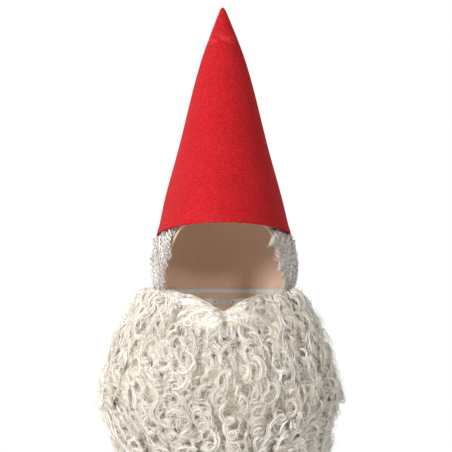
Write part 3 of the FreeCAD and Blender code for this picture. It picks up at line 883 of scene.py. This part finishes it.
def beard_point(theta, z, depth):
    """Place on the beard's outer form, depth mm inside it. theta is 0 at the front, + to the right."""
    left, right = curve_at(BEARD_LEFT, z), curve_at(BEARD_RIGHT, z)
    share = smooth((theta + 0.5) / 1.0)
    half = left * (1 - share) + right * share
    centre, front = curve_at(BEARD_CENTRE, z), curve_at(BEARD_DEPTH, z)
    ahead = np.cos(theta)
    front = front - TUCK * smooth((z - TUCK_LOW) / TUCK_SPAN) * np.maximum(ahead, 0)
    reach = np.where(ahead > 0, front - depth, REAR_ROUND)
    place = unrolled(theta, z)
    lobes = 4.6 * noise(place, 30, 11) + 1.6 * noise(place, 15, 12) - 2.6
    x = (half - depth + lobes * np.abs(np.sin(theta))) * np.sin(theta)
    y = centre - (reach + 0.7 * lobes * np.maximum(ahead, 0)) * ahead
    return np.stack([x, y, z], axis=-1)


def beard_frame(theta, z):
    """Outward and downward unit directions on the beard's outer form."""
    step = 0.01
    here = beard_point(theta, z, 0.0)
    round_it = beard_point(theta + step, z, 0.0) - here
    down = beard_point(theta, z - 2.0, 0.0) - here
    out = unit(np.cross(down, round_it))
    facing = np.stack([np.sin(theta), -np.cos(theta), 0 * theta], axis=-1)
    out *= np.sign(np.sum(out * facing, axis=-1, keepdims=True))
    return out, unit(down)


def beard_line(theta0, z0, drift, lie):
    """Function that gives each strand's centre line down the beard's form, lie mm under its surface."""
    def line(run, t, per_strand):
        z = np.maximum(per_strand(z0)[:, None] - run[:, None] * t[None, :], BEARD_LOWEST)
        theta = per_strand(theta0)[:, None] + per_strand(drift)[:, None] * t[None, :] ** 1.3
        return beard_point(theta, z, per_strand(lie)[:, None] + 0 * z)
    return line


def under_moustache(x, z):
    """1 where the moustache covers the beard's edge, falling to 0 around it."""
    return smooth((70 - np.abs(x)) / 8) * smooth((z + 96) / 6)


def row_roots(low, high, rng):
    """Angle and height of each lock's root in a row, kept below the top edge and the moustache."""
    locks = ROW_LOCKS
    side = np.linspace(-1, 1, locks) + rng.uniform(-0.5, 0.5, locks) * 2 / locks
    theta = side * BEARD_SWEEP * ROW_SPAN
    z0 = low + (high - low) * rng.permutation((np.arange(locks) + 0.5) / locks)
    x = beard_point(theta, z0, 0.0)[:, 0]
    top = curve_at(BEARD_TOP, x) - rng.uniform(0.5, 4, locks)
    covered = np.minimum(top, MOUSTACHE_FOOT - rng.uniform(0, 8, locks))
    return theta, np.minimum(z0, np.where(np.abs(x) < MOUSTACHE_HALF, covered, top))


def beard_row(number, low, high):
    """One sewn row of curls, hanging from its weft over the row below. The bold locks are large ringlets."""
    name = "beard_row_%d" % number
    rng = rng_for(name)
    theta, z0 = row_roots(low, high, rng)
    locks = len(theta)
    low_down = np.clip((-z0 - 70) / 150, 0, 1)
    tight = np.clip(0.15 + 0.85 * low_down + 0.25 * np.sin(theta) ** 2 * rng.random(locks), 0, 1)
    length = rng.uniform(*ROW_LENGTH, locks) * (1 - 0.25 * tight)
    length = np.minimum(length, np.maximum(z0 - BEARD_LOWEST, SHORTEST))
    bold = rng.random(locks) < 0.26 + 0.24 * low_down

    def sized(key):
        return np.where(bold, rng.uniform(*BOLD[key], locks), rng.uniform(*FINE[key], locks))

    radius = sized("radius") * np.where(bold, 1, 1 + 0.3 * tight)
    pitch = sized("open_pitch") * (1 - tight)
    pitch += sized("tight_pitch") * tight
    tilt = sized("tilt")
    lie = sized("lie") + radius * SUNK_SHARE * np.cos(tilt)
    drift = rng.normal(0, 0.10 + 0.06 * tight, locks)
    out, down = beard_frame(theta, z0)
    paths = lock_paths(beard_line(theta, z0, drift, lie), out, down, length, radius, pitch, tilt, rng,
                       ROW_STRANDS, ROW_POINTS, ROW_RISE - 0.6 * lie, BEARD_SPREAD)
    strand_piece(name, outside_backing(paths), ROW_STRAND, rng, beard_fibre, "beard",
                 ["beard_curls_row_%d" % number])


def edge_curls(name, theta, z0, drift, rng, strands, points):
    """Short curls that roll over an edge of the beard."""
    locks = len(theta)
    out, down = beard_frame(theta, z0)
    radius, tilt, lie, length, pitch = (rng.uniform(*EDGE[key], locks)
                                        for key in ("radius", "tilt", "lie", "length", "pitch"))
    line = beard_line(theta, z0, drift, lie + SUNK_SHARE * radius * np.cos(tilt))
    paths = lock_paths(line, out, down, length, radius, pitch, tilt, rng, strands, points,
                       np.full(locks, ROOT_RISE), BEARD_SPREAD)
    strand_piece(name, paths, EDGE_STRAND, rng, beard_fibre, "beard", [])


def beard_top_edge(locks=96):
    """Curls over the top edge, from beside the moustache round to the ears."""
    rng = rng_for("beard_edge")
    side = rng.choice([-1.0, 1.0], locks)
    theta = side * rng.uniform(MOUSTACHE_REACH, BEARD_SWEEP * 0.97, locks)
    x = beard_point(theta, np.full(locks, EDGE_Z), 0.0)[:, 0]
    z0 = curve_at(BEARD_TOP, x) - rng.uniform(-1.5, 4, locks)
    edge_curls("beard_edge_curls", theta, z0, side * rng.uniform(0.0, 0.25, locks), rng, 9, 30)


def beard_rear_edge(locks=84):
    """Curls down both rear edges, between the backing and the rows."""
    rng = rng_for("beard_rear")
    side = rng.choice([-1.0, 1.0], locks)
    theta = side * BEARD_SWEEP * rng.uniform(0.84, 1.0, locks)
    z0 = rng.uniform(REAR_LOW, REAR_HIGH, locks)
    edge_curls("beard_rear_curls", theta, z0, rng.normal(0, 0.05, locks), rng, 8, 26)


def border_faces(faces, shift):
    """Quads that join the open edges of faces to the same edges of a second layer, shift points later."""
    edges = np.stack([faces, np.roll(faces, -1, axis=1)], axis=-1).reshape(-1, 2)
    met = set(map(tuple, edges))
    border = np.array([(a, b) for a, b in edges if (b, a) not in met])
    return np.concatenate([border[:, ::-1], border + shift], axis=1)


def drop_loose_points(piece):
    work = bmesh.new()
    work.from_mesh(piece.data)
    bmesh.ops.delete(work, geom=[v for v in work.verts if not v.link_faces], context="VERTS")
    work.to_mesh(piece.data)
    work.free()


def packed_depth(place, hull, thick):
    """How thick the body of packed fibre is, where the beard is thick mm from backing to surface."""
    lumps = 2.4 * noise(place, 10, 21) + 1.4 * noise(place, 4.5, 22)
    depth = np.maximum(thick - FIBRE_COVER - lumps, 0.25 * thick)
    hidden = under_moustache(hull[..., 0], hull[..., 2])
    return depth * (1 - hidden) + np.minimum(depth, 4.5) * hidden


def make_beard_core():
    """Closed body of packed fibre under the curls, from the backing out to below the surface, with an opening
    at the mouth."""
    columns, rows = 220, 130
    uu, vv = np.meshgrid(np.linspace(-1, 1, columns), np.linspace(0, 1, rows))
    theta = uu * BEARD_SWEEP
    across = beard_point(theta, -70 + 0 * theta, 8.0)[..., 0]
    top = curve_at(BEARD_TOP, across) - 2.5 - 3.5 * smooth((np.abs(across) - 58) / 12)
    z = top + (BEARD_LOWEST + 2 - top) * vv
    width, centre, reach = backing_at(z)
    width, reach = width + BACKING_OUTSIDE, reach + BACKING_OUTSIDE
    limit = np.arccos(np.clip((centre - curve_at(BEARD_REAR, z)) / reach, -0.99, 0.99))
    inner = np.stack([width * np.sin(uu * limit), centre - reach * np.cos(uu * limit), z], axis=-1)
    hull = beard_point(theta, z, 0.0)
    thick = np.linalg.norm(hull - inner, axis=-1)
    depth = packed_depth(unrolled(theta, z), hull, thick)
    outer = inner + (hull - inner) * (depth / np.maximum(thick, 1e-6))[..., None]
    low, high = box_mm("beard_mouth_binding")
    middle, half = (low + high) / 2, (high - low) / 2
    from_mouth = np.hypot(inner[..., 0] / half[0], (inner[..., 2] - middle[2]) / half[2]).ravel()
    shift = columns * rows
    outside = grid_faces(columns, rows, flip=True)
    outside = outside[np.min(from_mouth[outside], axis=1) > 1]
    faces = np.concatenate([outside, outside[:, ::-1] + shift, border_faces(outside, shift)])
    points = np.concatenate([outer.reshape(-1, 3), inner.reshape(-1, 3)]) * MM
    core = mesh_object("beard_fibre_body", points, faces.ravel(), np.full(len(faces), 4))
    drop_loose_points(core)
    hand_over(core, beard_underlayer, "beard")


def make_beard():
    make_beard_core()
    beard_top_edge()
    beard_rear_edge()
    for number in range(1, 8):
        low, high = box_mm("beard_curls_row_%d" % number)
        beard_row(number, low[2], high[2])


# ---- wig

def head_share(points):
    """1 on the head form, more outside it."""
    return np.linalg.norm((points - HEAD_CENTRE) / HEAD_HALF, axis=-1)


def wig_body(node, keep, name):
    """Lumpy body of packed fibre inside a CAD curl solid. keep is the share of its thickness that is left."""
    mesh = finely_cut(node, LONGEST_FIBRE_EDGE)
    points = mesh_points(mesh)
    share = head_share(points)
    inner_share = 1 + WIG_CLEARANCE / HEAD_HALF[0]
    lumps = 0.16 * noise(points, 7, 31) + 0.08 * noise(points, 4, 32)
    wanted = inner_share + np.maximum(share - inner_share, 0) * (keep + lumps)
    set_points(mesh, HEAD_CENTRE + (points - HEAD_CENTRE) * (wanted / share)[:, None])
    hand_over(smooth_piece(name, mesh), wig_underlayer, "wig")


HAIRLINE_SLOPE = 0.45  # y against z along the front of the wig
OVERSAMPLE = 12
TEMPLE = dict(keep=0.4, radius=(1.9, 3.8), lie=(0.6, 3.0), length=(19, 31), pitch=(5, 9), sway=1.1,
              comb=(0.0, -0.2, -1.0))
BACK = dict(keep=0.35, radius=(2.4, 4.6), lie=(0.3, 4.0), length=(20, 34), pitch=(8, 12), sway=0.5,
            comb=(0.0, 0.1, -1.0))
CROWN = dict(keep=0.1, radius=(2.0, 3.6), lie=(0.5, 2.5), length=(20, 34), pitch=(8, 12), sway=0.5,
             comb=(0.0, 1.0, -0.15))


def spread_over(node, count, rng, at_hairline=False):
    """Random places, in mm, on the outward side of a CAD curl solid, and the outward direction at each.
    at_hairline keeps to the front edge."""
    count *= OVERSAMPLE if at_hairline else 1
    mesh = nodes[node].data
    mesh.calc_loop_triangles()
    tri = np.empty(len(mesh.loop_triangles) * 3, np.int32)
    mesh.loop_triangles.foreach_get("vertices", tri)
    a, b, c = mesh_points(mesh)[tri.reshape(-1, 3).T]
    cross = np.cross(b - a, c - a)
    out = unit(((a + b + c) / 3 - HEAD_CENTRE) / HEAD_HALF ** 2)
    weight = np.linalg.norm(cross, axis=1) * (np.sum(unit(cross) * out, axis=1) > 0.5)
    pick = rng.choice(len(weight), count, p=weight / weight.sum())
    r1, r2 = np.sqrt(rng.random(count))[:, None], rng.random(count)[:, None]
    root = a[pick] * (1 - r1) + b[pick] * (r1 * (1 - r2)) + c[pick] * (r1 * r2)
    if at_hairline:
        forward = root[:, 1] + HAIRLINE_SLOPE * root[:, 2]
        root = root[np.argsort(forward)][: count // OVERSAMPLE]
    return root, unit((root - HEAD_CENTRE) / HEAD_HALF ** 2)


def wig_curls(name, node, locks, edge_locks, forward, style, strands=8, points=24):
    """Short curls over one part of the wig, with edge_locks more along the hairline, combed forward there."""
    rng = rng_for(name)
    root, out = spread_over(node, locks, rng)
    if edge_locks:
        edge_root, edge_out = spread_over(node, edge_locks, rng, True)
        root, out = np.concatenate([root, edge_root]), np.concatenate([out, edge_out])
        locks += edge_locks
    down = np.array(style["comb"]) + 0.28 * rng.normal(0, 1, (locks, 3))
    down[locks - edge_locks:, 1] -= forward
    down = unit(down - np.sum(down * out, axis=1, keepdims=True) * out)
    depth = rng.uniform(*style["lie"], locks)
    start = root - out * depth[:, None] - down * rng.uniform(0, 9, locks)[:, None]

    def line(run, t, per_strand):
        ahead = run[:, None, None] * t[None, :, None] * per_strand(down)[:, None, :]
        straight = per_strand(start)[:, None, :] + ahead
        share = head_share(straight)
        return HEAD_CENTRE + (straight - HEAD_CENTRE) * (share[:, :1] / share)[..., None]

    length, radius, pitch = (rng.uniform(*style[key], locks) for key in ("length", "radius", "pitch"))
    tilt = rng.uniform(0.8, 1.55, locks)
    paths = lock_paths(line, out, down, length, radius, pitch, tilt, rng, strands, points,
                       np.full(locks, ROOT_RISE), WIG_SPREAD, style["sway"])
    paths = outside_cap(paths)
    paths = inside_solid(paths, node) if style is CROWN else under_brim(paths)
    strand_piece(name, paths, FINE_STRAND, rng, wig_fibre, "wig", [node], 0.4, 0.12)


def make_wig():
    for node, locks, edge_locks, forward, style in (("wig_curls_left", 112, 46, 0.1, TEMPLE),
                                                    ("wig_curls_right", 104, 64, 0.8, TEMPLE),
                                                    ("wig_curls_back", 174, 0, 0.0, BACK),
                                                    ("wig_curls_crown", 160, 0, 0.0, CROWN)):
        wig_body(node, style["keep"], node.replace("curls", "fibre_body"))
        wig_curls(node.replace("curls", "locks"), node, locks, edge_locks, forward, style)


# ---- moustache

MOUSTACHE_LOCKS, MOUSTACHE_STRANDS, MOUSTACHE_POINTS = 74, 11, 30
MOUSTACHE_END = 84.0  # how far out the strands reach
MOUSTACHE_ABOVE = 1.5  # how far they rise above the beard's top edge
MOUSTACHE_DEEP = 12.0  # how far below it the moustache is fullest
MOUSTACHE_LENGTH = (34, 62)
MOUSTACHE_START, PARTING_START = (0.0, 60), (-2.0, 7)  # where the locks begin, across from the middle
MOUSTACHE_DROP = (0.0, 27)  # how far below the top edge they begin
FREE_DROP = 7.0  # locks that begin lower than this hang down more freely
FREE_SLANT, EDGE_SLANT = (-1.1, 0.2), (-0.12, 0.1)
END_TURN_FROM, END_TURN_RADIUS = (0.05, 0.55), (3.6, 8.5)  # the curl at each lock's end
WAVE_SIZE, WAVE_AT, WAVE_RATE = (0.2, 0.6), (0, 6.28), 10
LEAST_LIFT, FULL_LIFT, LIFT_LUMPS = 10.5, 11.0, 2.0  # how far the strands lie off the backing


def moustache_sweep(rng, per_strand, loose):
    """Places across and up of each strand, swept from the parting out along the beard's edge."""
    locks, points, m = MOUSTACHE_LOCKS, MOUSTACHE_POINTS, len(loose)
    start = rng.uniform(*MOUSTACHE_START, locks)
    start[: locks // 4] = rng.uniform(*PARTING_START, locks // 4)
    drop = rng.uniform(*MOUSTACHE_DROP, locks)
    slant = np.where(drop > FREE_DROP, rng.uniform(*FREE_SLANT, locks), rng.uniform(*EDGE_SLANT, locks))
    slant = per_strand(slant) + rng.normal(0, 0.05, m)
    length = per_strand(rng.uniform(*MOUSTACHE_LENGTH, locks)) * (1 + rng.normal(0, 0.06, m))
    turn_from = per_strand(rng.uniform(*END_TURN_FROM, locks)) + rng.normal(0, 0.02, m)
    turn_radius = per_strand(rng.uniform(*END_TURN_RADIUS, locks)) * (1 + rng.normal(0, 0.10, m) * loose)
    wave_size, wave_at = (per_strand(rng.uniform(*span, locks)) for span in (WAVE_SIZE, WAVE_AT))
    step, ahead = length / (points - 1), 6
    x, z = np.zeros((m, points)), np.zeros((m, points))
    x[:, 0] = per_strand(start)
    z[:, 0] = curve_at(BEARD_TOP, x[:, 0]) - per_strand(drop) * np.clip(x[:, 0] / 12, 0.55, 1)
    for i in range(1, points):
        t = i / (points - 1)
        slope = (curve_at(BEARD_TOP, x[:, i - 1] + ahead) - curve_at(BEARD_TOP, x[:, i - 1])) / ahead
        heading = np.arctan(slope) * 0.8 + slant + wave_size * np.sin(wave_at + WAVE_RATE * t)
        heading -= np.maximum(t - turn_from, 0) * length / turn_radius
        x[:, i] = x[:, i - 1] + step * np.cos(heading)
        z[:, i] = z[:, i - 1] + step * np.sin(heading)
    x = np.clip(x + rng.normal(0, 1.0, (m, 1)) * loose[:, None], -3.0, MOUSTACHE_END)
    z = z + rng.normal(0, 1.0, (m, 1)) * loose[:, None]
    return x, np.minimum(z, curve_at(BEARD_TOP, x) + MOUSTACHE_ABOVE)


def moustache_side(side, name):
    """Half of the moustache, laid over the backing, fuller towards its lower edge."""
    rng = rng_for("moustache_" + name)
    per_strand = functools.partial(np.repeat, repeats=MOUSTACHE_STRANDS, axis=0)
    loose = np.where(rng.random(MOUSTACHE_LOCKS * MOUSTACHE_STRANDS) < 0.25, 2.4, 1.0)
    x, z = moustache_sweep(rng, per_strand, loose)
    below = np.clip(curve_at(BEARD_TOP, x) + MOUSTACHE_ABOVE - z, 0, MOUSTACHE_DEEP) / MOUSTACHE_DEEP
    place = np.stack([x, z, 0 * x], axis=-1)
    lift = LEAST_LIFT + FULL_LIFT * (1 - (1 - below) ** 2) + LIFT_LUMPS * noise(place, 12, 41)
    lift = lift + per_strand(rng.uniform(-3.5, 1.5, MOUSTACHE_LOCKS))[:, None]
    width, centre, reach = backing_at(z)
    y = centre - (reach + lift) * np.sqrt(1 - np.clip(np.abs(x) / (width + lift), 0, 0.985) ** 2)
    # the tone of 0.2, darker than the beard's, is painted shade against the light on the moustache's
    # upward-facing strands
    strand_piece("moustache_strands_" + name, np.stack([side * x, y, z], axis=-1), FINE_STRAND, rng,
                 beard_fibre, "moustache", ["moustache_hair_" + name], 0.2)


def make_moustache():
    moustache_side(-1, "left")
    moustache_side(1, "right")


# ---- studio

FRAME_WIDTH = 0.5121  # metres across the picture at the plane of the beard's widest part
PLANE_Y = -0.045
CAMERA_DISTANCE = 4.5
CAMERA_X, CAMERA_Z = 0.0023, 0.0125
SENSOR_MM = 36.0
LIT_POINT = (0, -0.03, -0.05)
BACKDROP_STRENGTH = 1.0
ROOM_LEFT, ROOM_RIGHT = 1.46, 0.18
FLOOR_BELOW = 0.12
FLOOR_HALF = 1.5


def area_light(name, spot, size, power):
    data = bpy.data.lights.new(name, "AREA")
    data.shape = "SQUARE"
    data.size = size
    data.energy = power
    lamp = bpy.data.objects.new(name, data)
    lamp.location = spot
    lamp.rotation_euler = (Vector(LIT_POINT) - Vector(spot)).to_track_quat("-Z", "Y").to_euler()
    bpy.context.scene.collection.objects.link(lamp)


def make_world():
    """White backdrop for the camera, and a room, brighter on the left, that lights the set."""
    world = bpy.data.worlds.new("studio")
    bpy.context.scene.world = world
    world.use_nodes = True
    tree = world.node_tree
    tree.nodes.clear()
    kinds = ("TexCoord", "SeparateXYZ", "MapRange", "Background", "Background", "LightPath", "MixShader",
             "OutputWorld")
    heading, split, slope, room, backdrop, path, mix, out = (tree.nodes.new("ShaderNode" + k) for k in kinds)
    set_inputs(slope, From_Min=-1.0, From_Max=1.0, To_Min=ROOM_LEFT, To_Max=ROOM_RIGHT)
    set_inputs(backdrop, Strength=BACKDROP_STRENGTH)
    for node in (room, backdrop):
        set_inputs(node, Color=(1, 1, 1, 1))
    tree.links.new(heading.outputs["Generated"], split.inputs[0])
    tree.links.new(split.outputs["X"], slope.inputs["Value"])
    tree.links.new(slope.outputs["Result"], room.inputs["Strength"])
    tree.links.new(path.outputs["Is Camera Ray"], mix.inputs[0])
    tree.links.new(room.outputs[0], mix.inputs[1])
    tree.links.new(backdrop.outputs[0], mix.inputs[2])
    tree.links.new(mix.outputs[0], out.inputs["Surface"])


def make_floor():
    corners = np.array([[-1, -1, 0], [1, -1, 0], [1, 1, 0], [-1, 1, 0]]) * FLOOR_HALF
    floor = mesh_object("floor", corners + [0, 0, cad_box[0][2] - FLOOR_BELOW], [0, 1, 2, 3], [4])
    s = Shader("pale_floor")
    speck = s.span(s.noise(40, 3.0), 0.3, 0.7, 0, 1)
    dress(floor, s.finish(s.mix(speck, (0.80, 0.80, 0.79), (0.84, 0.84, 0.83)), 0.7))


def make_studio():
    scene = bpy.context.scene
    scene.view_settings.view_transform = "Standard"
    lens = bpy.data.cameras.new("camera")
    lens.sensor_width = SENSOR_MM
    lens.lens = SENSOR_MM * CAMERA_DISTANCE / FRAME_WIDTH
    lens.clip_end = 50
    camera = bpy.data.objects.new("camera", lens)
    camera.location = (CAMERA_X, PLANE_Y - CAMERA_DISTANCE, CAMERA_Z)
    camera.rotation_euler = (math.radians(90), 0, 0)
    scene.collection.objects.link(camera)
    scene.camera = camera
    make_world()
    make_floor()
    area_light("key", (-1.5, -1.9, 0.7), size=0.5, power=47)
    area_light("fill", (0.7, -2.6, 0.9), size=0.3, power=19)


dress_cad_nodes()
make_studio()
make_cloth_layers()
make_hat()
make_beard()
make_wig()
make_moustache()
